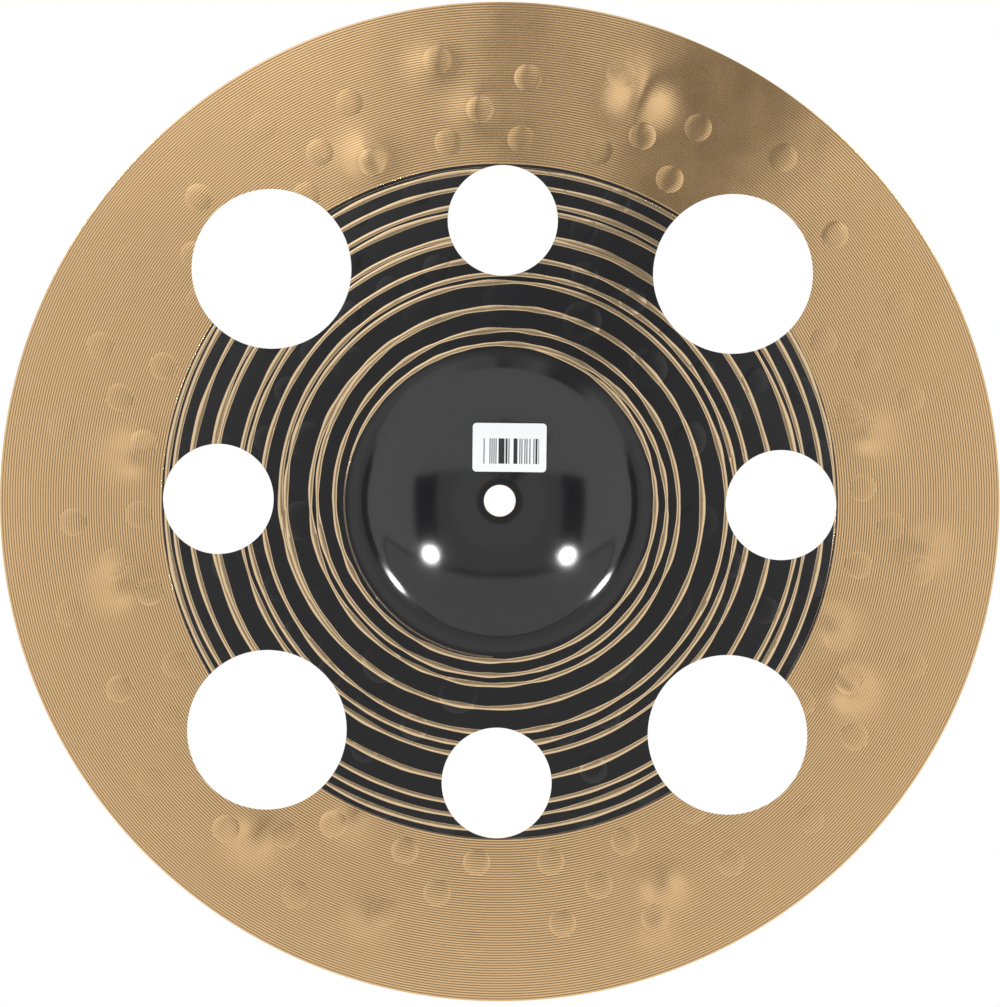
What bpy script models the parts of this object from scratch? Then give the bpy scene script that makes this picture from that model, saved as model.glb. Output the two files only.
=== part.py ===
"""Trash crash cymbal, 16 inches across, lying on its rim with the bell up.

The plate is made in the order of the workshop: a flat blank with its holes, pressed to the
profile of bell and bow, hammered in rows of blows, and given its tapering wall. The second
piece is the stock label, stuck inside the bell. Metres, +Z up along the cymbal's axis.
"""

import math

import bmesh
import bpy
from mathutils import Vector
from mathutils.geometry import delaunay_2d_cdt

# Plate: the outline and the wall.
RIM_RADIUS = 0.2032
RIM_ROUNDING = 0.0002
EDGE_RADIUS = RIM_RADIUS - RIM_ROUNDING
WALL_AT_BELL = 0.00125
WALL_AT_RIM = 0.00075

# Profile of the underside, from the rim inwards: bow, foot of the bell, crown, flat seat.
BOW_CURVE_RADIUS = 1.2
BELL_RADIUS = 0.063
BELL_FOOT_CURVE = 0.023
BELL_CROWN_CURVE = 0.082

# Holes: one for the stand's rod, in its flat seat, and eight cut-outs, small and large in
# turn. The large ones lie midway across the bow, and the small ones nearer the bell.
ROD_HOLE_RADIUS = 0.0065
SEAT_WIDTH = 0.0025
SEAT_RADIUS = ROD_HOLE_RADIUS + SEAT_WIDTH
CUTOUT_PAIRS = 4
LARGE_CUTOUT_RADIUS = 0.0325
LARGE_PITCH_RADIUS = (BELL_RADIUS + RIM_RADIUS) / 2
SMALL_CUTOUT_RADIUS = 0.0225
SMALL_SET_INWARDS = 0.0181
SMALL_PITCH_RADIUS = LARGE_PITCH_RADIUS - SMALL_SET_INWARDS

# Hammering: each row has its radius, its number of blows, the angle of the first, in
# degrees from +Y towards -X, and the radius of one blow.
WIDE_BLOW_RADIUS = 0.0082
BLOW_RADIUS = 0.0056
WIDE_BLOW_DEPTH = 0.00030
BLOW_DEPTH = 0.00025
WIDE_BLOW_ROWS = (
    (0.0815, 15, -2.0),
    (0.1005, 15, 8.0),
)
BLOW_ROWS = (
    (0.0990, 15, 20.4),
    (0.1160, 15, 15.6),
    (0.1325, 30, 8.7),
    (0.1487, 30, 3.0),
    (0.1610, 15, 21.0),
    (0.1732, 15, 4.0),
    (0.1818, 15, 16.0),
)

# Label: its true size, and its place beside the rod's hole.
LABEL_WIDTH = 0.0305
LABEL_HEIGHT = 0.021
LABEL_CORNER = 0.0013
LABEL_THICKNESS = 0.0002
LABEL_SEAT_GAP = 0.0003
LABEL_TO_HOLE = 0.0055
LABEL_SIDE_SHIFT = -0.0038

# Fineness of the facets.
RIM_SIDES = 144
LARGE_CUTOUT_SIDES = 40
SMALL_CUTOUT_SIDES = 32
ROD_HOLE_SIDES = 24
BLOW_SIDES = 6
BELL_SPACING = 0.0052
BOW_SPACING = 0.0115
LABEL_SPACING = 0.0035
CLEARANCE_SHARE = 0.42

BRONZE_COLOUR = (0.74, 0.50, 0.24, 1.0)
PAPER_COLOUR = (0.86, 0.87, 0.88, 1.0)


# Profile

def bow_height(radius):
    """Height of the bow's underside above its edge: a cap of one large sphere."""
    return (math.sqrt(BOW_CURVE_RADIUS ** 2 - radius ** 2)
            - math.sqrt(BOW_CURVE_RADIUS ** 2 - EDGE_RADIUS ** 2))


def crown_edge():
    """Radius at which the bell's crown turns into its foot, both at the same slope."""
    foot = 1 / BOW_CURVE_RADIUS + 1 / BELL_FOOT_CURVE
    crown = 1 / BELL_CROWN_CURVE + 1 / BELL_FOOT_CURVE
    return BELL_RADIUS * foot / crown


def slope_sine(radius):
    """Sine of the underside's slope at a radius."""
    if radius >= BELL_RADIUS:
        return radius / BOW_CURVE_RADIUS
    if radius >= crown_edge():
        return BELL_RADIUS / BOW_CURVE_RADIUS + (BELL_RADIUS - radius) / BELL_FOOT_CURVE
    return max(radius, SEAT_RADIUS) / BELL_CROWN_CURVE


def slope_cosine(radius):
    return math.sqrt(1 - slope_sine(radius) ** 2)


def underside_height(radius):
    """Height of the smooth underside above the plane that its edge rests on."""
    if radius >= BELL_RADIUS:
        return bow_height(radius)
    foot = bow_height(BELL_RADIUS)
    if radius >= crown_edge():
        return foot + BELL_FOOT_CURVE * (slope_cosine(BELL_RADIUS) - slope_cosine(radius))
    steepest = slope_cosine(crown_edge())
    crown = foot + BELL_FOOT_CURVE * (slope_cosine(BELL_RADIUS) - steepest)
    return crown + BELL_CROWN_CURVE * (slope_cosine(radius) - steepest)


def wall_height(radius):
    """Wall measured upright: full at the bell, then tapering evenly to the rim."""
    share = max(0.0, (radius - BELL_RADIUS) / (RIM_RADIUS - BELL_RADIUS))
    wall = WALL_AT_BELL + (WALL_AT_RIM - WALL_AT_BELL) * min(1.0, share)
    return wall if radius <= SEAT_RADIUS else wall / slope_cosine(radius)


# Holes and blows on the plan

def circle(centre, radius, sides):
    turns = [2 * math.pi * k / sides for k in range(sides)]
    return [centre + radius * Vector((math.cos(a), math.sin(a))) for a in turns]


def on_plan(radius, degrees):
    """Point of the plan at an angle from +Y towards -X."""
    angle = math.radians(degrees)
    return radius * Vector((-math.sin(angle), math.cos(angle)))


def holes():
    """Centre, radius and number of sides of every hole."""
    found = [(Vector((0, 0)), ROD_HOLE_RADIUS, ROD_HOLE_SIDES)]
    step = 360 / CUTOUT_PAIRS
    for pair in range(CUTOUT_PAIRS):
        small = on_plan(SMALL_PITCH_RADIUS, pair * step)
        large = on_plan(LARGE_PITCH_RADIUS, (pair + 0.5) * step)
        found.append((small, SMALL_CUTOUT_RADIUS, SMALL_CUTOUT_SIDES))
        found.append((large, LARGE_CUTOUT_RADIUS, LARGE_CUTOUT_SIDES))
    return found


def blows():
    """Centre, radius and depth of every blow."""
    found = []
    for rows, radius, depth in ((WIDE_BLOW_ROWS, WIDE_BLOW_RADIUS, WIDE_BLOW_DEPTH),
                                (BLOW_ROWS, BLOW_RADIUS, BLOW_DEPTH)):
        for row_radius, count, first in rows:
            for k in range(count):
                found.append((on_plan(row_radius, first + 360 * k / count), radius, depth))
    return found


def hammered(point, all_blows):
    """How far the blows, struck from below, have pushed the plate up at a point."""
    lift = 0.0
    for centre, radius, depth in all_blows:
        share = (point - centre).length / radius
        lift = max(lift, depth * (1 - share ** 2))
    return lift


# Blank

def is_clear(point, gap, all_holes, taken):
    """Whether a point keeps the gap to the rim, the holes and the circles already placed."""
    if point.length > EDGE_RADIUS - gap:
        return False
    return all((point - centre).length > radius + gap
               for centre, radius, *_ in all_holes + taken)


def spread_points(all_holes, taken):
    """Points in rings that fill the blank between its holes and blows."""
    points = []
    radius = SEAT_RADIUS + BELL_SPACING
    while radius < RIM_RADIUS:
        spacing = BELL_SPACING if radius < BELL_RADIUS + BELL_SPACING else BOW_SPACING
        count = max(3, round(2 * math.pi * radius / spacing))
        ring = circle(Vector((0, 0)), radius, count)
        points += [p for p in ring if is_clear(p, CLEARANCE_SHARE * spacing, all_holes, taken)]
        radius += spacing * math.sin(math.radians(60))
    return points


def blank(all_holes, all_blows):
    """The flat blank as triangles: its points, and the corners of each triangle."""
    points, edges = [], []

    def add_loop(loop):
        first = len(points)
        points.extend(loop)
        edges.extend((first + k, first + (k + 1) % len(loop)) for k in range(len(loop)))

    add_loop(circle(Vector((0, 0)), EDGE_RADIUS, RIM_SIDES))
    add_loop(circle(Vector((0, 0)), SEAT_RADIUS, ROD_HOLE_SIDES))
    for centre, radius, sides in all_holes:
        add_loop(circle(centre, radius, sides))
    struck = []
    for centre, radius, _ in all_blows:
        if is_clear(centre, 1.3 * radius, all_holes, struck):
            add_loop(circle(centre, radius, BLOW_SIDES))
            points.append(centre)
            struck.append((centre, radius))
    points += spread_points(all_holes, struck)
    made = delaunay_2d_cdt(points, edges, [], 0, 1e-7)
    return made[0], [t for t in made[2] if not in_a_hole(t, made[0], all_holes)]


def in_a_hole(triangle, points, all_holes):
    middle = (points[triangle[0]] + points[triangle[1]] + points[triangle[2]]) / 3
    return any((middle - centre).length < radius * math.cos(math.pi / sides)
               for centre, radius, sides in all_holes)


# Pieces

def material(name, colour, roughness, metallic):
    made = bpy.data.materials.new(name)
    made.use_nodes = True
    shader = made.node_tree.nodes["Principled BSDF"]
    shader.inputs["Base Color"].default_value = colour
    shader.inputs["Roughness"].default_value = roughness
    shader.inputs["Metallic"].default_value = metallic
    return made


def place(bm, name, finish):
    """Turns a bmesh into a named object with its material."""
    bmesh.ops.recalc_face_normals(bm, faces=bm.faces)
    mesh = bpy.data.meshes.new(name)
    bm.to_mesh(mesh)
    bm.free()
    mesh.shade_smooth()
    mesh.set_sharp_from_angle(angle=math.radians(35))
    mesh.materials.append(finish)
    made = bpy.data.objects.new(name, mesh)
    bpy.context.scene.collection.objects.link(made)
    return made


def thicken(bm, rise):
    """Extrudes the open sheet into a closed one; rise gives each new point's lift."""
    made = bmesh.ops.extrude_face_region(bm, geom=bm.faces[:])
    for vert in made["geom"]:
        if isinstance(vert, bmesh.types.BMVert):
            vert.co.z += rise(vert.co.xy.length)


def round_the_rim(bm):
    """Gives the rim's upright wall a middle loop that stands out to the full radius."""
    inner = EDGE_RADIUS - RIM_ROUNDING / 2
    uprights = [e for e in bm.edges
                if all(v.co.xy.length > inner for v in e.verts)
                and (e.verts[0].co.xy - e.verts[1].co.xy).length < RIM_ROUNDING]
    made = bmesh.ops.subdivide_edges(bm, edges=uprights, cuts=1)
    for vert in made["geom_inner"]:
        if isinstance(vert, bmesh.types.BMVert):
            vert.co.xy = vert.co.xy.normalized() * RIM_RADIUS


def cymbal_plate():
    """Blank, press, hammer and thicken the plate."""
    all_holes, all_blows = holes(), blows()
    points, triangles = blank(all_holes, all_blows)
    bm = bmesh.new()
    for point in points:
        height = underside_height(point.length) + hammered(point, all_blows)
        bm.verts.new((point.x, point.y, height))
    bm.verts.ensure_lookup_table()
    for triangle in triangles:
        bm.faces.new([bm.verts[k] for k in triangle])
    bmesh.ops.delete(bm, geom=[v for v in bm.verts if not v.link_faces], context="VERTS")
    thicken(bm, wall_height)
    round_the_rim(bm)
    bronze = material("bronze", BRONZE_COLOUR, 0.28, 1.0)
    return place(bm, "cymbal_plate", bronze)


def bell_label():
    """The label: a sheet with round corners, bent to the crown's underside."""
    near_edge = ROD_HOLE_RADIUS + LABEL_TO_HOLE
    foreshortening = slope_cosine(near_edge + LABEL_HEIGHT / 2)
    middle = Vector((LABEL_SIDE_SHIFT, near_edge + foreshortening * LABEL_HEIGHT / 2, 0))
    bm = bmesh.new()
    bmesh.ops.create_grid(bm, x_segments=1, y_segments=1, size=0.5)
    bmesh.ops.scale(bm, vec=(LABEL_WIDTH, LABEL_HEIGHT * foreshortening, 1), verts=bm.verts)
    bmesh.ops.bevel(bm, geom=bm.verts[:], offset=LABEL_CORNER, offset_type="OFFSET",
                    affect="VERTICES", segments=3, profile=0.5, material=-1)
    for axis, size in ((Vector((1, 0, 0)), LABEL_WIDTH), (Vector((0, 1, 0)), LABEL_HEIGHT)):
        strips = max(2, round(size / LABEL_SPACING))
        for k in range(1, strips):
            cut = axis * size * (k / strips - 0.5) * (foreshortening if axis.y else 1)
            bmesh.ops.bisect_plane(bm, geom=bm.verts[:] + bm.edges[:] + bm.faces[:],
                                   plane_co=cut, plane_no=axis, dist=1e-7)
    bmesh.ops.translate(bm, vec=middle, verts=bm.verts)
    for vert in bm.verts:
        radius = vert.co.xy.length
        drop = (LABEL_SEAT_GAP + LABEL_THICKNESS) / slope_cosine(radius)
        vert.co.z = underside_height(radius) - drop
    thicken(bm, lambda radius: LABEL_THICKNESS / slope_cosine(radius))
    paper = material("paper", PAPER_COLOUR, 0.45, 0.0)
    return place(bm, "bell_label", paper)


def build():
    for old in list(bpy.data.objects):
        bpy.data.objects.remove(old)
    cymbal_plate()
    bell_label()


build()
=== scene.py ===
"""Looks of the trash crash cymbal: its plate, finishes, label, studio and camera.

The cymbal lies bell up on a pale floor, and the camera looks up at its underside. Polar
places are given from the cymbal's axis, their angles from +Y towards -X, which is clockwise
in the photograph. Everything is in metres.
"""
import math

import bmesh
import bpy
from mathutils import Matrix, Vector


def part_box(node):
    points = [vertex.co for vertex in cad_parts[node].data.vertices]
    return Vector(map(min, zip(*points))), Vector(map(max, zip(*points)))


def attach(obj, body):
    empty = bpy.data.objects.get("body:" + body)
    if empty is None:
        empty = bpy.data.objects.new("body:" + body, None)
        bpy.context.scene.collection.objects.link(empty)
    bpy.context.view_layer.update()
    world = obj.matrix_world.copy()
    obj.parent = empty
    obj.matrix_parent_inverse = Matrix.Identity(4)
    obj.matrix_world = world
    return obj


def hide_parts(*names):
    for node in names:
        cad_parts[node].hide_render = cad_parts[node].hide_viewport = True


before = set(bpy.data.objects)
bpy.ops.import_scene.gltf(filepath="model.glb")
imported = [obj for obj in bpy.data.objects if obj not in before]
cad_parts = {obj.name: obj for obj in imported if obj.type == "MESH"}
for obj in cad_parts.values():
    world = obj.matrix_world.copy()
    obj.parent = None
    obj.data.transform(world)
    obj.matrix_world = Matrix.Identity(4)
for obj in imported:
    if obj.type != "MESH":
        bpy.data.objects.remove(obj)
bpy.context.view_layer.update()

# Plate, as the solid has it.
RIM_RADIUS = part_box("cymbal_plate")[1].x
RIM_ROUNDING = 0.0002
EDGE_RADIUS = RIM_RADIUS - RIM_ROUNDING
WALL_AT_BELL = 0.00125
WALL_AT_RIM = 0.00075
BOW_CURVE_RADIUS = 1.2
BELL_RADIUS = 0.063
BELL_FOOT_CURVE = 0.023
BELL_CROWN_CURVE = 0.082
ROD_HOLE_RADIUS = 0.0065
SEAT_RADIUS = 0.009
CUTOUT_PAIRS = 4
LARGE_CUTOUT_RADIUS = 0.0325
LARGE_PITCH_RADIUS = (BELL_RADIUS + RIM_RADIUS) / 2
SMALL_CUTOUT_RADIUS = 0.0225
SMALL_SET_INWARDS = 0.0181
SMALL_PITCH_RADIUS = LARGE_PITCH_RADIUS - SMALL_SET_INWARDS
CUT_EDGE_BREAK = 0.00012

# Fineness of the finished plate, and the angle from which an edge is drawn sharp.
PLATE_STEPS = 360
RING_SPACING = 0.0019
BELL_RING_SPACING = 0.0014
RIM_STEPS = 6
CUTOUT_SIDES = 128
MERGE_DISTANCE = 0.00001
PLATE_CREASE = math.radians(32)

# The plate's material slots. A face is a cut wall where its normal rises less than a share.
UNDER_SLOT, TOP_SLOT, WALL_SLOT = 0, 1, 2
CUT_WALL_RISE = 0.72

# Coating: where it ends, how far and how closely its edge wanders, and how soft it is.
COATING_RADIUS = 0.138
COATING_WANDER = 0.0006
COATING_WANDER_SCALE = 35.0
COATING_EDGE = 0.0001

# Lathe: pitch and depth of its grooves on the bow and in the bell, and where the bell's fade.
LATHE_PITCH = 0.00102
LATHE_DEPTH = 0.000038
BELL_LATHE_PITCH = 0.0011
BELL_LATHE_DEPTH = 0.0000022
BELL_LATHE_FADE = 0.004

# Hammering in rows: radius, number of blows, angle of the first, blow radius and depth. A blow
# lands up to half the scatter off its place. Chance adds up to 1 to the least share of its depth.
WIDE_BLOW = (0.0080, 0.00016)
BLOW = (0.0056, 0.00014)
FAINT_BLOW = (0.0058, 0.00008)
BLOW_SCATTER = 0.0022
BLOW_LEAST_SHARE = 0.35
BLOW_CRISPNESS = 3.0
HAMMER_ROWS = (
    (0.0815, 15, -0.5, WIDE_BLOW),
    (0.0985, 30, 8.5, BLOW),
    (0.1160, 15, 16.0, BLOW),
    (0.1320, 30, 8.7, FAINT_BLOW),
    (0.1480, 30, 3.0, BLOW),
    (0.1605, 15, 20.5, BLOW),
    (0.1735, 15, 3.0, BLOW),
    (0.1815, 15, 15.0, FAINT_BLOW),
)

# Heavier single blows: radius, angle, spread and depth. Past so many spreads nothing is left.
HEAVY_BLOW_REACH = 4
HEAVY_BLOWS = (
    (0.1505, 338.0, 0.0060, 0.0011),
    (0.1805, 350.5, 0.0050, 0.0005),
    (0.1605, 355.5, 0.0050, 0.0005),
    (0.1735, 18.5, 0.0075, 0.0014),
    (0.1525, 78.5, 0.0060, 0.0012),
    (0.1750, 95.5, 0.0060, 0.0011),
    (0.1630, 117.5, 0.0060, 0.0013),
    (0.1450, 109.5, 0.0055, 0.0009),
    (0.1710, 156.5, 0.0055, 0.0010),
    (0.1850, 159.5, 0.0045, 0.0006),
    (0.1785, 197.0, 0.0050, 0.0005),
    (0.1435, 204.5, 0.0050, 0.0006),
    (0.1705, 215.5, 0.0060, 0.0010),
    (0.1595, 257.0, 0.0060, 0.0011),
    (0.1515, 276.5, 0.0060, 0.0011),
)

# Bright lines through the coating: two spirals that wind outwards clockwise, each with its
# radius at every quarter turn from the first, the turns at which it starts and ends, and a
# number of its own for the noise that swells it.
LINE_FIRST_TURN = -0.25
LINE_RADII = {
    "first": (0.0639, 0.0639, 0.0639, 0.0653, 0.0677, 0.0704, 0.0733, 0.0751, 0.0775, 0.0796,
              0.0830, 0.0845, 0.0897, 0.0932, 0.0971, 0.1000, 0.1042, 0.1079, 0.1117, 0.1148,
              0.1188, 0.1223, 0.1256, 0.1290, 0.1333, 0.1353, 0.1370, 0.1376, 0.1380, 0.1384),
    "second": (0.0635, 0.0647, 0.0684, 0.0711, 0.0747, 0.0794, 0.0830, 0.0845, 0.0875, 0.0899,
               0.0928, 0.0946, 0.0973, 0.0997, 0.1024, 0.1046, 0.1072, 0.1097, 0.1117, 0.1148,
               0.1170, 0.1193, 0.1223, 0.1241, 0.1270, 0.1290, 0.1321, 0.1341, 0.1363, 0.1368),
}
LINE_ENDS = {"first": (0.0, 6.3), "second": (-0.25, 6.9)}
LINE_NOISE_PLACE = {"first": 3.0, "second": 17.0}
LINE_FIELD_START = 0.062
LINE_FIELD_WIDTH = 0.08
LINE_HALF_WIDTH = 0.00088
LEAST_LINE_WIDTH = 0.0001
LINE_SWELL = 0.0021
LINE_SWELLS_A_TURN = 26.0
LINE_TAPER_TURNS = 0.12
LINE_SOFT_EDGE = 0.00012
LINE_DEPTH = 0.00009

# Slow waves that the hammering leaves between the blows.
WAVE_SCALE = 45.0
WAVE_DEPTH = 0.00012

# Colours, and roughness, which noise raises by up to a spread.
BRONZE = (0.93, 0.615, 0.315, 1.0)
BRONZE_LINE = (0.96, 0.71, 0.43, 1.0)
COATING = (0.012, 0.012, 0.013, 1.0)
PAPER = (0.86, 0.87, 0.88, 1.0)
PAPER_SHADE = (0.80, 0.81, 0.83, 1.0)
INK = (0.02, 0.02, 0.022, 1.0)
FLOOR_PAINT = (0.86, 0.86, 0.86, 1.0)
BARE_ROUGHNESS = 0.09
COATING_ROUGHNESS = 0.08
ROUGHNESS_SPREAD = 0.08
ROUGHNESS_SCALE = 60.0
CUT_ROUGHNESS = 0.25
CUT_ROUGHNESS_SPREAD = 0.2
CUT_GRAIN_SCALE = 900.0
PAPER_ROUGHNESS = 0.35
PAPER_ROUGHNESS_SPREAD = 0.1
PAPER_FIBRE_SCALE = 2500.0

# How far the top side's pattern is turned from the underside's, in turns.
TOP_TURNED = 0.37

# Label, as the solid has it, and its field of bars in shares of its width and height.
LABEL_WIDTH = 0.0305
LABEL_HEIGHT = 0.021
LABEL_CORNER = 0.0016
LABEL_THICKNESS = 0.0002
LABEL_SEAT_GAP = 0.0003
LABEL_TO_HOLE = 0.0055
LABEL_SIDE_SHIFT = -0.0038
LABEL_CORNER_STEPS = 8
LABEL_STRIPS = 24
LABEL_STRIP_SLACK = 1e-7
LABEL_CREASE = math.radians(35)
BAR_COLUMNS = 74.0
BAR_FIELD_ACROSS = (-0.40, 0.40)
BAR_FIELD_UP = (0.16, 0.66)

# Camera: its distance below the rim, its lean towards +Y, its roll, and its lens.
CAMERA_DISTANCE = 2.0
CAMERA_LEAN = math.radians(1.2)
CAMERA_ROLL = math.radians(0.63)
CAMERA_SENSOR = 36.0
IMAGE_WIDTH, IMAGE_HEIGHT = 1000, 1007
RIM_PIXELS = 500.0
RIM_CENTRE_PIXELS = (499.7, 502.6)

# Lamps: how far off the cymbal's axis they stand, and turned from +Y to each side.
LAMP_OFF_AXIS = math.radians(50)
LAMP_TURN = math.radians(53)
LAMP_DISTANCE = 2.0
LAMP_RADIUS = 0.16
LAMP_POWER = 16.0

FLOOR_HALF_WIDTH = 6.0

# Studio tent that the metal shows. Its places are shares of the distance to a wall that faces
# the cymbal: how far to the side, how far up, or how far off the axis. An edge goes from none
# of its level to all of it.
TENT_LEVEL = 0.60
BOW_WALL_LEVEL = 0.78
BOW_WALL_EDGE = (0.60, 0.46)
LOW_WALL_LEVEL = 1.20
LOW_WALL_EDGE = (-0.30, -0.42)
SIDE_WALL_LEVEL = 1.25
SIDE_WALL_EDGE = (1.12, 1.25)
SIDE_SEAM_LEVEL = 0.04
SIDE_SEAM_EDGE = (0.70, 0.78)
HIGH_WALL_LEVEL = 1.0
HIGH_WALL_EDGE = (0.92, 0.98)
HIGH_SEAM_LEVEL = 0.15
HIGH_SEAM_START = (0.84, 0.87)
HIGH_SEAM_END = (0.96, 0.93)
NEAR_CAMERA_LEVEL = 0.28
NEAR_CAMERA_EDGE = (0.21, 0.13)
HORIZON_LEVEL = 0.6
HORIZON_EDGE = (4.2, 7.0)
FLATTEST_WAY = 0.02

# Dark poles in the tent: angle clockwise from the top, half the width, soft edge, all in
# degrees, and how much each darkens. They fade out at the given distance off the axis.
TENT_POLE_EDGE = (1.25, 0.95)
TENT_POLES = (
    (180.6, 2.2, 0.7, 0.97),
    (187.0, 5.5, 3.0, 0.45),
    (207.0, 9.5, 4.0, 0.85),
    (170.0, 6.0, 4.0, 0.30),
)


# Shape of the plate

def bow_height(radius):
    """Height of the bow's curve above the rim's edge."""
    return (math.sqrt(BOW_CURVE_RADIUS ** 2 - radius ** 2)
            - math.sqrt(BOW_CURVE_RADIUS ** 2 - EDGE_RADIUS ** 2))


def crown_edge():
    """Radius at which the bell's crown runs into the curve of its foot."""
    foot = 1 / BOW_CURVE_RADIUS + 1 / BELL_FOOT_CURVE
    crown = 1 / BELL_CROWN_CURVE + 1 / BELL_FOOT_CURVE
    return BELL_RADIUS * foot / crown


def slope_sine(radius):
    """Sine of the plate's slope: on the bow, on the bell's foot, then on its crown."""
    if radius >= BELL_RADIUS:
        return radius / BOW_CURVE_RADIUS
    if radius >= crown_edge():
        return BELL_RADIUS / BOW_CURVE_RADIUS + (BELL_RADIUS - radius) / BELL_FOOT_CURVE
    return max(radius, SEAT_RADIUS) / BELL_CROWN_CURVE


def slope_cosine(radius):
    return math.sqrt(1 - slope_sine(radius) ** 2)


def underside_height(radius):
    """Height of the smooth underside above the plane that the rim rests on."""
    if radius >= BELL_RADIUS:
        return bow_height(radius)
    foot = bow_height(BELL_RADIUS)
    if radius >= crown_edge():
        return foot + BELL_FOOT_CURVE * (slope_cosine(BELL_RADIUS) - slope_cosine(radius))
    steepest = slope_cosine(crown_edge())
    crown = foot + BELL_FOOT_CURVE * (slope_cosine(BELL_RADIUS) - steepest)
    return crown + BELL_CROWN_CURVE * (slope_cosine(radius) - steepest)


def wall_height(radius):
    """Wall measured upright: full at the bell, then tapering evenly to the rim."""
    share = max(0.0, (radius - BELL_RADIUS) / (RIM_RADIUS - BELL_RADIUS))
    wall = WALL_AT_BELL + (WALL_AT_RIM - WALL_AT_BELL) * min(1.0, share)
    return wall if radius <= SEAT_RADIUS else wall / slope_cosine(radius)


def on_plan(radius, degrees):
    """Place on the plan, seen as in the photograph: clockwise from the top."""
    angle = math.radians(degrees)
    return Vector((-radius * math.sin(angle), radius * math.cos(angle)))


def heavy_lift(point):
    """How far the heavier blows have pushed the plate up at a point."""
    lift = 0.0
    for radius, degrees, spread, depth in HEAVY_BLOWS:
        away = (point - on_plan(radius, degrees)).length / spread
        if away < HEAVY_BLOW_REACH:
            lift += depth * math.exp(-away * away / 2)
    return lift


# Meshes

def new_piece(name, bm, materials):
    """Turns a bmesh into a named object with its materials in order."""
    mesh = bpy.data.meshes.new(name)
    bm.to_mesh(mesh)
    bm.free()
    for material in materials:
        mesh.materials.append(material)
    piece = bpy.data.objects.new(name, mesh)
    bpy.context.scene.collection.objects.link(piece)
    return piece


def ring_radii():
    """Radii of the plate's rings, from the rod hole's edge to the rim, the last two close."""
    radii = [ROD_HOLE_RADIUS + CUT_EDGE_BREAK, (ROD_HOLE_RADIUS + SEAT_RADIUS) / 2, SEAT_RADIUS]
    while radii[-1] < EDGE_RADIUS - RING_SPACING:
        in_bell = radii[-1] < BELL_RADIUS
        radii.append(radii[-1] + (BELL_RING_SPACING if in_bell else RING_SPACING))
    radii[-1] = EDGE_RADIUS - RING_SPACING / 3
    return radii + [EDGE_RADIUS]


def plate_section():
    """Closed section of the plate: under side outwards, round the rim, top side inwards."""
    radii = ring_radii()
    under = [Vector((r, 0, underside_height(r))) for r in radii]
    over = [Vector((r, 0, underside_height(r) + wall_height(r))) for r in reversed(radii)]
    wall = wall_height(EDGE_RADIUS)
    foot = underside_height(EDGE_RADIUS)
    round_rim = [math.pi * k / RIM_STEPS for k in range(1, RIM_STEPS)]
    rim = [Vector((EDGE_RADIUS + RIM_ROUNDING * math.sin(a), 0,
                   foot + wall * (1 - math.cos(a)) / 2))
           for a in round_rim]
    seat = underside_height(SEAT_RADIUS)
    hole = [Vector((ROD_HOLE_RADIUS, 0, seat + WALL_AT_BELL - CUT_EDGE_BREAK)),
            Vector((ROD_HOLE_RADIUS, 0, seat + CUT_EDGE_BREAK))]
    return under + rim + over + hole


def cutout_cutter():
    """One upright column for every cut-out."""
    bm = bmesh.new()
    for k in range(2 * CUTOUT_PAIRS):
        small = k % 2 == 0
        pitch = SMALL_PITCH_RADIUS if small else LARGE_PITCH_RADIUS
        radius = SMALL_CUTOUT_RADIUS if small else LARGE_CUTOUT_RADIUS
        centre = on_plan(pitch, 180 * k / CUTOUT_PAIRS).to_3d()
        bmesh.ops.create_cone(bm, cap_ends=True, segments=CUTOUT_SIDES, radius1=radius,
                              radius2=radius, depth=4 * bow_height(0),
                              matrix=Matrix.Translation(centre))
    bmesh.ops.recalc_face_normals(bm, faces=bm.faces)
    return bm


def is_cut_wall(face):
    """Whether a face belongs to a cut or to the rim; the bell's own sides don't count."""
    radius = face.calc_center_median().xy.length
    on_bell = ROD_HOLE_RADIUS + CUT_EDGE_BREAK <= radius < BELL_RADIUS
    return abs(face.normal.z) < CUT_WALL_RISE and not on_bell


def make_plate(under_finish, top_finish, wall_finish):
    """Spins the section, cuts the cut-outs, and sinks the heavier blows."""
    bm = bmesh.new()
    section = [bm.verts.new(point) for point in plate_section()]
    edges = [bm.edges.new((a, b)) for a, b in zip(section, section[1:] + section[:1])]
    bmesh.ops.spin(bm, geom=section + edges, cent=(0, 0, 0), axis=(0, 0, 1),
                   angle=2 * math.pi, steps=PLATE_STEPS, use_merge=True)
    bmesh.ops.remove_doubles(bm, verts=bm.verts, dist=MERGE_DISTANCE)
    bmesh.ops.recalc_face_normals(bm, faces=bm.faces)
    plate = new_piece("plate", bm, [under_finish, top_finish, wall_finish])

    cutter = new_piece("cutter", cutout_cutter(), [])
    cut = plate.modifiers.new("cut_outs", "BOOLEAN")
    cut.object = cutter
    cut.operation = "DIFFERENCE"
    cut.solver = "EXACT"
    bpy.context.view_layer.update()
    finished = plate.evaluated_get(bpy.context.evaluated_depsgraph_get())
    bm = bmesh.new()
    bm.from_mesh(finished.to_mesh())
    plate.modifiers.clear()
    bpy.data.objects.remove(cutter)

    bmesh.ops.triangulate(bm, faces=[f for f in bm.faces if len(f.verts) > 4])
    for face in bm.faces:
        side = TOP_SLOT if face.normal.z > 0 else UNDER_SLOT
        face.material_index = WALL_SLOT if is_cut_wall(face) else side
        face.smooth = True
    for vert in bm.verts:
        vert.co.z += heavy_lift(vert.co.xy)
    bm.to_mesh(plate.data)
    bm.free()
    plate.data.set_sharp_from_angle(angle=PLATE_CREASE)
    return plate


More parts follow.
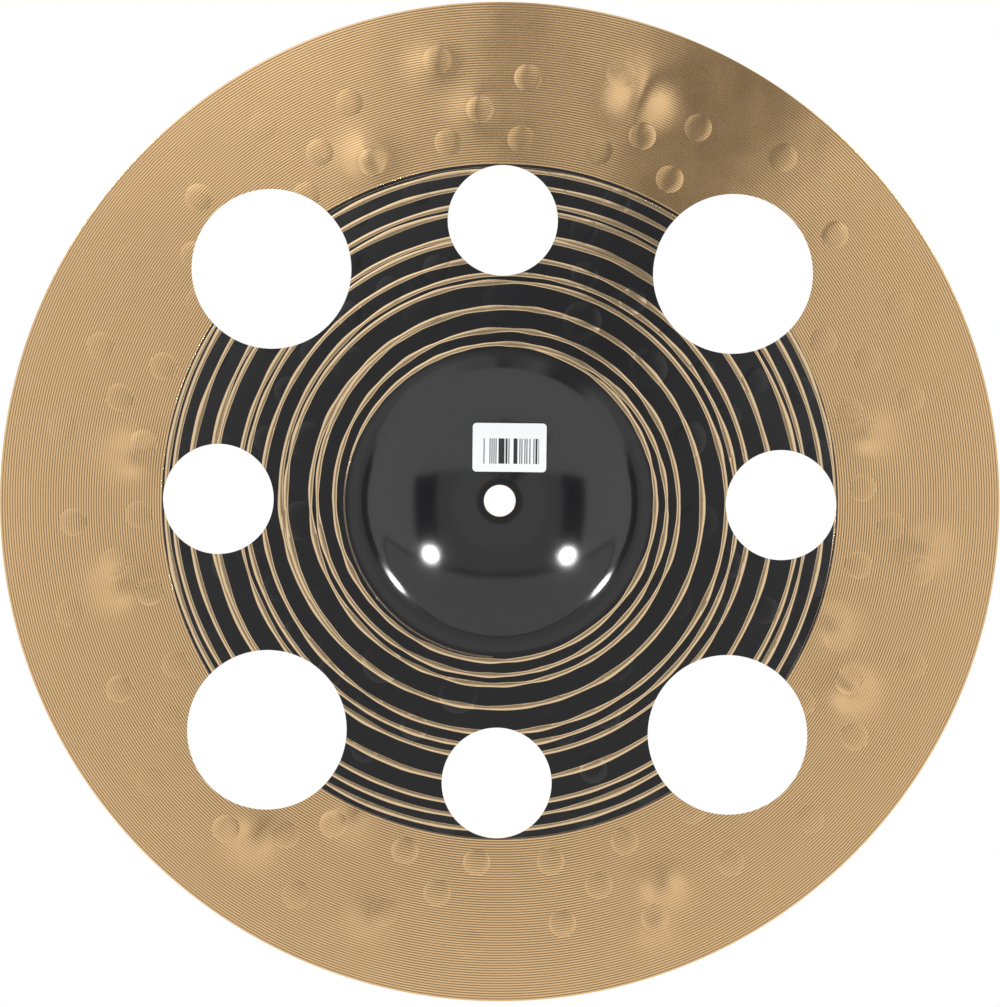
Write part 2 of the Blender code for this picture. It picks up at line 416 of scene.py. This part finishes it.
def make_label(paper):
    """Sheet with round corners, bent to the underside of the bell."""
    near_edge = ROD_HOLE_RADIUS + LABEL_TO_HOLE
    foreshortening = slope_cosine(near_edge + LABEL_HEIGHT / 2)
    depth = LABEL_HEIGHT * foreshortening
    middle = Vector((LABEL_SIDE_SHIFT, near_edge + depth / 2, 0))
    bm = bmesh.new()
    bmesh.ops.create_grid(bm, x_segments=1, y_segments=1, size=0.5)
    bmesh.ops.scale(bm, vec=(LABEL_WIDTH, depth, 1), verts=bm.verts)
    bmesh.ops.bevel(bm, geom=bm.verts[:], offset=LABEL_CORNER, offset_type="OFFSET",
                    affect="VERTICES", segments=LABEL_CORNER_STEPS, profile=0.5, material=-1)
    for axis, size in ((Vector((1, 0, 0)), LABEL_WIDTH), (Vector((0, 1, 0)), depth)):
        for k in range(1, LABEL_STRIPS):
            bmesh.ops.bisect_plane(bm, geom=bm.verts[:] + bm.edges[:] + bm.faces[:],
                                   plane_co=axis * size * (k / LABEL_STRIPS - 0.5),
                                   plane_no=axis, dist=LABEL_STRIP_SLACK)
    bmesh.ops.translate(bm, vec=middle, verts=bm.verts)
    for vert in bm.verts:
        radius = vert.co.xy.length
        drop = (LABEL_SEAT_GAP + LABEL_THICKNESS) / slope_cosine(radius)
        vert.co.z = underside_height(radius) - drop
    made = bmesh.ops.extrude_face_region(bm, geom=bm.faces[:])
    for vert in [g for g in made["geom"] if isinstance(g, bmesh.types.BMVert)]:
        vert.co.z += LABEL_THICKNESS / slope_cosine(vert.co.xy.length)
    bmesh.ops.recalc_face_normals(bm, faces=bm.faces)
    label = new_piece("label", bm, [paper])
    label.data.shade_smooth()
    label.data.set_sharp_from_angle(angle=LABEL_CREASE)
    return label


# Shader nodes

class Net:
    """A node tree, and the few ways in which this script adds to it."""

    def __init__(self, tree):
        self.tree = tree

    def node(self, kind, inputs=None, **settings):
        """Adds a node, with values or links for its inputs."""
        made = self.tree.nodes.new(kind)
        for name, value in settings.items():
            setattr(made, name, value)
        for name, value in (inputs or {}).items():
            self.feed(made.inputs[name], value)
        return made

    def feed(self, socket, value):
        if isinstance(value, bpy.types.NodeSocket):
            self.tree.links.new(value, socket)
        else:
            socket.default_value = value

    def maths(self, operation, *values, clamp=False):
        made = self.node("ShaderNodeMath", operation=operation, use_clamp=clamp)
        for socket, value in zip(made.inputs, values):
            self.feed(socket, value)
        return made.outputs[0]

    def step(self, value, start, end):
        """Goes smoothly from 0 at start to 1 at end."""
        made = self.node("ShaderNodeMapRange", interpolation_type="SMOOTHSTEP",
                         inputs={"Value": value, "From Min": start, "From Max": end})
        return made.outputs["Result"]

    def total(self, first, *others):
        """Sum of two values or more."""
        for value in others:
            first = self.maths("ADD", first, value)
        return first

    def product(self, first, *others):
        """Product of two values or more."""
        for value in others:
            first = self.maths("MULTIPLY", first, value)
        return first

    def mix(self, share, first, second):
        """Number that goes from the first value to the second."""
        made = self.node("ShaderNodeMix", data_type="FLOAT",
                         inputs={0: share, 2: first, 3: second})
        return made.outputs[0]

    def mix_colour(self, share, first, second):
        """Colour that goes from the first to the second."""
        made = self.node("ShaderNodeMix", data_type="RGBA",
                         inputs={0: share, 6: first, 7: second})
        return made.outputs[2]

    def noise(self, vector, scale, detail=2.0):
        made = self.node("ShaderNodeTexNoise",
                         inputs={"Vector": vector, "Scale": scale, "Detail": detail})
        return made.outputs["Fac"]

    def split(self, vector):
        """X, Y and Z of a vector."""
        return self.node("ShaderNodeSeparateXYZ", inputs={"Vector": vector}).outputs

    def length(self, x, y):
        """Length of a vector on the plan."""
        return self.maths("SQRT", self.total(self.product(x, x), self.product(y, y)))

    def place(self, name, **inputs):
        """Adds a group by name, and gives its outputs."""
        made = self.node("ShaderNodeGroup", node_tree=bpy.data.node_groups[name])
        for key, value in inputs.items():
            self.feed(made.inputs[key], value)
        return made.outputs


def new_group(name, inputs, outputs):
    """Starts a node group: its net, its input sockets by name and its output node."""
    tree = bpy.data.node_groups.new(name, "ShaderNodeTree")
    for side, sockets in (("INPUT", inputs), ("OUTPUT", outputs)):
        for socket, kind in sockets.items():
            tree.interface.new_socket(name=socket, in_out=side,
                                      socket_type="NodeSocket" + kind)
    net = Net(tree)
    start = net.node("NodeGroupInput").outputs
    end = net.node("NodeGroupOutput").inputs
    return net, start, end


def polar_group():
    """Radius from the axis in metres, and turn from 0 to 1 clockwise in the photograph."""
    net, given, out = new_group("polar_place", {"Place": "Vector"},
                                {"Radius": "Float", "Turn": "Float"})
    split = net.split(given["Place"])
    angle = net.maths("ARCTAN2", net.product(split["X"], -1.0), split["Y"])
    net.feed(out["Radius"], net.length(split["X"], split["Y"]))
    net.feed(out["Turn"], net.maths("FRACT", net.maths("DIVIDE", angle, 2 * math.pi)))


def hammer_row_group():
    """Depth of one row of round blows, each a shallow dish with a crisp edge."""
    net, given, out = new_group(
        "hammer_row",
        {"Radius": "Float", "Turn": "Float", "Row": "Float", "Blows": "Float",
         "First": "Float", "Size": "Float", "Depth": "Float"},
        {"Depth": "Float"})
    count = net.product(net.maths("SUBTRACT", given["Turn"], given["First"]), given["Blows"])
    nearest = net.maths("ROUND", count)
    step = net.maths("DIVIDE", net.product(given["Row"], 2 * math.pi), given["Blows"])
    blow = net.node("ShaderNodeCombineXYZ", inputs={
        "X": net.maths("FLOORED_MODULO", nearest, given["Blows"]), "Y": given["Row"]})
    chance = net.node("ShaderNodeTexWhiteNoise", noise_dimensions="2D",
                      inputs={"Vector": blow.outputs[0]})
    lots = net.node("ShaderNodeSeparateColor", inputs={"Color": chance.outputs["Color"]}).outputs
    off_along = net.product(net.maths("SUBTRACT", lots["Red"], 0.5), BLOW_SCATTER)
    off_across = net.product(net.maths("SUBTRACT", lots["Green"], 0.5), BLOW_SCATTER)
    along = net.total(off_along, net.product(net.maths("SUBTRACT", count, nearest), step))
    across = net.total(net.maths("SUBTRACT", given["Radius"], given["Row"]), off_across)
    share = net.maths("DIVIDE", net.length(along, across), given["Size"])
    dish = net.maths("SUBTRACT", 1.0, net.maths("POWER", share, BLOW_CRISPNESS), clamp=True)
    strength = net.total(lots["Blue"], BLOW_LEAST_SHARE)
    net.feed(out["Depth"], net.product(dish, strength, given["Depth"]))


def curve_node(net, value, points):
    """Float curve through points, both axes from 0 to 1."""
    made = net.node("ShaderNodeFloatCurve", inputs={"Value": value})
    curve = made.mapping.curves[0]
    for k, (x, y) in enumerate(points):
        if k < 2:
            curve.points[k].location = (x, y)
        else:
            curve.points.new(x, y)
    made.mapping.extend = "HORIZONTAL"
    made.mapping.update()
    return made.outputs[0]


def line_group(key):
    """Distance in metres to one bright line, and the turn along it.

    One curve guesses the turn from the radius, which tells the winding. The other gives the
    line's radius at that turn.
    """
    net, given, out = new_group("line_" + key, {"Radius": "Float", "Turn": "Float"},
                                {"Distance": "Float", "Along": "Float"})
    radii = LINE_RADII[key]
    all_turns = (len(radii) - 1) / 4
    wound = [(k / 4 / all_turns, (radius - LINE_FIELD_START) / LINE_FIELD_WIDTH)
             for k, radius in enumerate(radii)]
    unwound = [(y, x) for x, y in wound[1::3]]
    share = net.maths("DIVIDE", net.maths("SUBTRACT", given["Radius"], LINE_FIELD_START),
                      LINE_FIELD_WIDTH)
    guess = net.maths("MULTIPLY_ADD", curve_node(net, share, unwound), all_turns,
                      LINE_FIRST_TURN)
    whole = net.maths("ROUND", net.maths("SUBTRACT", guess, given["Turn"]))
    along = net.total(given["Turn"], whole)
    place = net.maths("DIVIDE", net.maths("SUBTRACT", along, LINE_FIRST_TURN), all_turns)
    radius = net.maths("MULTIPLY_ADD", curve_node(net, place, wound), LINE_FIELD_WIDTH,
                       LINE_FIELD_START)
    net.feed(out["Distance"], net.maths("ABSOLUTE",
                                        net.maths("SUBTRACT", given["Radius"], radius)))
    net.feed(out["Along"], along)


def lathe_group():
    """Depth of round-bottomed grooves cut side by side at a steady pitch."""
    net, given, out = new_group("lathe_grooves",
                                {"Radius": "Float", "Pitch": "Float", "Depth": "Float"},
                                {"Depth": "Float"})
    phase = net.maths("FRACT", net.maths("DIVIDE", given["Radius"], given["Pitch"]))
    centred = net.maths("MULTIPLY_ADD", phase, 2.0, -1.0)
    dish = net.maths("SUBTRACT", 1.0, net.product(centred, centred))
    net.feed(out["Depth"], net.product(dish, given["Depth"]))


def new_material(name):
    """Starts a material: the material, its net and its shader."""
    material = bpy.data.materials.new(name)
    material.use_nodes = True
    net = Net(material.node_tree)
    shader = material.node_tree.nodes["Principled BSDF"]
    return material, net, shader


def hammering(net, radius, turn):
    """Depth of all the rows of blows together."""
    rows = [net.place("hammer_row", Radius=radius, Turn=turn, Row=row_radius,
                      Blows=float(count), First=first / 360, Size=size, Depth=depth)["Depth"]
            for row_radius, count, first, (size, depth) in HAMMER_ROWS]
    return net.total(*rows)


def bright_line(net, key, radius, turn):
    """One line through the coating: where it is bare, and how deep, both from 0 to 1."""
    start, end = LINE_ENDS[key]
    line = net.place("line_" + key, Radius=radius, Turn=turn)
    wavy = net.node("ShaderNodeCombineXYZ",
                    inputs={"X": net.product(line["Along"], LINE_SWELLS_A_TURN),
                            "Y": LINE_NOISE_PLACE[key]})
    swell = net.maths("SUBTRACT", net.noise(wavy.outputs[0], 1.0, 1.0), 0.5)
    width = net.maths("MULTIPLY_ADD", swell, LINE_SWELL, LINE_HALF_WIDTH)
    begins = net.step(line["Along"], start, start + LINE_TAPER_TURNS)
    ends = net.step(line["Along"], end, end - LINE_TAPER_TURNS)
    width = net.product(width, begins, ends)
    inside = net.maths("SUBTRACT", width, line["Distance"])
    share = net.maths("DIVIDE", line["Distance"], net.maths("MAXIMUM", width, LEAST_LINE_WIDTH))
    hollow = net.maths("SUBTRACT", 1.0, net.product(share, share), clamp=True)
    return net.step(inside, -LINE_SOFT_EDGE, LINE_SOFT_EDGE), hollow


def plate_finish(name, outwards, turned):
    """Coated and lathed finish of one face. Outwards is -1 where blows dent it, 1 where they
    stand out, and turned is how far its pattern is turned round the axis."""
    material, net, shader = new_material(name)
    place = net.node("ShaderNodeTexCoord").outputs["Object"]
    polar = net.place("polar_place", Place=place)
    radius = polar["Radius"]
    turn = net.maths("FRACT", net.total(polar["Turn"], turned))

    wander = net.maths("SUBTRACT", net.noise(place, COATING_WANDER_SCALE), 0.5)
    outer = net.step(net.total(radius, net.product(wander, COATING_WANDER)),
                     COATING_RADIUS, COATING_RADIUS + COATING_EDGE)
    first, first_hollow = bright_line(net, "first", radius, turn)
    second, second_hollow = bright_line(net, "second", radius, turn)
    bare = net.maths("MAXIMUM", outer, net.maths("MAXIMUM", first, second))
    hollows = net.maths("MAXIMUM", first_hollow, second_hollow)

    bow_lathe = net.place("lathe_grooves", Radius=radius, Pitch=LATHE_PITCH, Depth=LATHE_DEPTH)
    bell_lathe = net.place("lathe_grooves", Radius=radius, Pitch=BELL_LATHE_PITCH,
                           Depth=BELL_LATHE_DEPTH)
    in_bell = net.step(radius, BELL_RADIUS, BELL_RADIUS - BELL_LATHE_FADE)
    cuts = net.total(net.product(bow_lathe["Depth"], outer), net.product(hollows, LINE_DEPTH),
                     net.product(bell_lathe["Depth"], in_bell))
    waves = net.product(net.noise(place, WAVE_SCALE, 1.0), WAVE_DEPTH)
    relief = net.product(net.total(hammering(net, radius, turn), waves), outwards)
    bump = net.node("ShaderNodeBump", inputs={"Strength": 1.0, "Distance": 1.0,
                                              "Height": net.maths("SUBTRACT", relief, cuts)})

    rough = net.noise(place, ROUGHNESS_SCALE, 3.0)
    bronze = net.mix_colour(outer, BRONZE_LINE, BRONZE)
    net.feed(shader.inputs["Base Color"], net.mix_colour(bare, COATING, bronze))
    net.feed(shader.inputs["Metallic"], bare)
    net.feed(shader.inputs["Roughness"],
             net.maths("MULTIPLY_ADD", rough, ROUGHNESS_SPREAD,
                       net.mix(bare, COATING_ROUGHNESS, BARE_ROUGHNESS)))
    net.feed(shader.inputs["Normal"], bump.outputs[0])
    return material


def edge_finish():
    """Bare bronze of the cut walls and the rim."""
    material, net, shader = new_material("cut_bronze")
    place = net.node("ShaderNodeTexCoord").outputs["Object"]
    grain = net.noise(place, CUT_GRAIN_SCALE, 3.0)
    net.feed(shader.inputs["Base Color"], net.mix_colour(grain, BRONZE, BRONZE_LINE))
    net.feed(shader.inputs["Metallic"], 1.0)
    net.feed(shader.inputs["Roughness"],
             net.maths("MULTIPLY_ADD", grain, CUT_ROUGHNESS_SPREAD, CUT_ROUGHNESS))
    return material


def paper_finish():
    """White label stock with a plain field of dark bars."""
    material, net, shader = new_material("label_stock")
    place = net.node("ShaderNodeTexCoord").outputs["Object"]
    split = net.split(place)
    near_edge = ROD_HOLE_RADIUS + LABEL_TO_HOLE
    across = net.maths("DIVIDE", net.maths("SUBTRACT", split["X"], LABEL_SIDE_SHIFT),
                       LABEL_WIDTH)
    up = net.maths("DIVIDE", net.maths("SUBTRACT", split["Y"], near_edge), LABEL_HEIGHT)
    column = net.maths("FLOOR", net.product(across, BAR_COLUMNS))
    dice = net.node("ShaderNodeTexWhiteNoise", noise_dimensions="1D", inputs={"W": column})
    ink = net.maths("GREATER_THAN", dice.outputs["Value"], 0.5)
    for value, (low, high) in ((across, BAR_FIELD_ACROSS), (up, BAR_FIELD_UP)):
        ink = net.product(ink, net.maths("GREATER_THAN", value, low),
                          net.maths("LESS_THAN", value, high))
    fibre = net.noise(place, PAPER_FIBRE_SCALE)
    paper = net.mix_colour(fibre, PAPER_SHADE, PAPER)
    net.feed(shader.inputs["Base Color"], net.mix_colour(ink, paper, INK))
    net.feed(shader.inputs["Roughness"],
             net.maths("MULTIPLY_ADD", fibre, PAPER_ROUGHNESS_SPREAD, PAPER_ROUGHNESS))
    return material


# Studio

def make_world():
    """White behind the object; round it a pale tent with dark seams for the metal to show."""
    world = bpy.data.worlds.new("studio")
    bpy.context.scene.world = world
    world.use_nodes = True
    net = Net(world.node_tree)
    world.node_tree.nodes.clear()
    split = net.split(net.node("ShaderNodeTexCoord").outputs["Generated"])
    depth = net.maths("MAXIMUM", net.maths("ABSOLUTE", split["Z"]), FLATTEST_WAY)
    right = net.maths("DIVIDE", net.product(split["X"], -1.0), depth)
    up = net.maths("DIVIDE", split["Y"], depth)
    side = net.maths("ABSOLUTE", right)
    spread = net.length(right, up)

    level = net.mix(net.step(spread, *BOW_WALL_EDGE), TENT_LEVEL, BOW_WALL_LEVEL)
    level = net.mix(net.step(up, *LOW_WALL_EDGE), level, LOW_WALL_LEVEL)
    level = net.mix(net.step(side, *SIDE_WALL_EDGE), level, SIDE_WALL_LEVEL)
    side_seam = net.product(net.step(side, *SIDE_SEAM_EDGE),
                            net.step(side, *reversed(SIDE_WALL_EDGE)),
                            net.step(up, *reversed(LOW_WALL_EDGE)))
    level = net.mix(side_seam, level, SIDE_SEAM_LEVEL)
    level = net.mix(net.step(up, *HIGH_WALL_EDGE), level, HIGH_WALL_LEVEL)
    high_seam = net.product(net.step(up, *HIGH_SEAM_START), net.step(up, *HIGH_SEAM_END))
    level = net.mix(high_seam, level, HIGH_SEAM_LEVEL)
    level = net.mix(net.step(spread, *NEAR_CAMERA_EDGE), level, NEAR_CAMERA_LEVEL)
    level = net.mix(net.step(spread, *HORIZON_EDGE), level, HORIZON_LEVEL)

    angle = net.maths("FLOORED_MODULO", net.maths("ARCTAN2", right, up), 2 * math.pi)
    low = net.step(spread, *TENT_POLE_EDGE)
    for degrees, half, soft, darkening in TENT_POLES:
        away = net.maths("ABSOLUTE", net.maths("SUBTRACT", angle, math.radians(degrees)))
        pole = net.step(away, math.radians(half + soft), math.radians(half - soft))
        pole = net.product(pole, low, darkening)
        level = net.product(level, net.maths("SUBTRACT", 1.0, pole))
    seen = net.node("ShaderNodeLightPath").outputs["Is Camera Ray"]
    background = net.node("ShaderNodeBackground", inputs={"Color": (1, 1, 1, 1),
                                                          "Strength": net.mix(seen, level, 1.0)})
    output = net.node("ShaderNodeOutputWorld")
    net.feed(output.inputs["Surface"], background.outputs[0])


def add_lamp(name, way):
    """Round lamp that shines at the middle of the object from a unit vector's direction."""
    data = bpy.data.lights.new(name, "AREA")
    data.shape = "DISK"
    data.size = 2 * LAMP_RADIUS
    data.energy = LAMP_POWER
    lamp = bpy.data.objects.new(name, data)
    lamp.location = way * LAMP_DISTANCE
    lamp.rotation_mode = "QUATERNION"
    lamp.rotation_quaternion = way.to_track_quat("Z", "Y")
    bpy.context.scene.collection.objects.link(lamp)


def make_lamps():
    """Two lamps below for the underside, and two above for the top."""
    aside = math.sin(LAMP_TURN) * math.sin(LAMP_OFF_AXIS)
    along = math.cos(LAMP_TURN) * math.sin(LAMP_OFF_AXIS)
    height = math.cos(LAMP_OFF_AXIS)
    add_lamp("lower_lamp_right", Vector((-aside, along, -height)))
    add_lamp("upper_lamp_right", Vector((-aside, along, height)))
    add_lamp("lower_lamp_left", Vector((aside, along, -height)))
    add_lamp("upper_lamp_left", Vector((aside, along, height)))


def make_floor():
    """Pale floor that only shows from above, so the camera below looks up past it."""
    bm = bmesh.new()
    bmesh.ops.create_grid(bm, x_segments=1, y_segments=1, size=FLOOR_HALF_WIDTH)
    material = bpy.data.materials.new("pale_floor")
    material.use_nodes = True
    net = Net(material.node_tree)
    material.node_tree.nodes.clear()
    seen = net.node("ShaderNodeLightPath").outputs["Is Camera Ray"]
    behind = net.node("ShaderNodeNewGeometry").outputs["Backfacing"]
    share = net.product(seen, net.maths("SUBTRACT", 1.0, behind))
    clear = net.node("ShaderNodeBsdfTransparent").outputs[0]
    paint = net.node("ShaderNodeBsdfDiffuse", inputs={"Color": FLOOR_PAINT}).outputs[0]
    both = net.node("ShaderNodeMixShader", inputs={0: share, 1: clear, 2: paint}).outputs[0]
    output = net.node("ShaderNodeOutputMaterial")
    net.feed(output.inputs["Surface"], both)
    floor = new_piece("floor", bm, [material])


def make_camera():
    """Camera below the cymbal, close to its axis, with the rim filling the frame."""
    data = bpy.data.cameras.new("camera")
    data.sensor_width = CAMERA_SENSOR
    long_side = max(IMAGE_WIDTH, IMAGE_HEIGHT)
    data.lens = RIM_PIXELS * CAMERA_DISTANCE / RIM_RADIUS / long_side * data.sensor_width
    data.shift_x = (IMAGE_WIDTH / 2 - RIM_CENTRE_PIXELS[0]) / long_side
    data.shift_y = (RIM_CENTRE_PIXELS[1] - IMAGE_HEIGHT / 2) / long_side
    camera = bpy.data.objects.new("camera", data)
    back = Vector((0, math.sin(CAMERA_LEAN), -math.cos(CAMERA_LEAN)))
    up = Vector((math.sin(CAMERA_ROLL), math.cos(CAMERA_ROLL), 0))
    right = up.cross(back).normalized()
    up = back.cross(right)
    camera.matrix_world = (Matrix.Translation(back * CAMERA_DISTANCE)
                           @ Matrix((right, up, back)).transposed().to_4x4())
    bpy.context.scene.collection.objects.link(camera)
    bpy.context.scene.camera = camera


def main():
    for group in (polar_group, hammer_row_group, lathe_group):
        group()
    for key in LINE_RADII:
        line_group(key)
    under = plate_finish("underside_finish", -1.0, 0.0)
    top = plate_finish("top_finish", 1.0, TOP_TURNED)
    plate = make_plate(under, top, edge_finish())
    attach(plate, "root")
    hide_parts("cymbal_plate")
    label = make_label(paper_finish())
    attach(label, "root")
    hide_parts("bell_label")
    make_world()
    make_lamps()
    make_floor()
    make_camera()
    bpy.context.scene.view_settings.view_transform = "Standard"
    bpy.context.view_layer.update()


main()
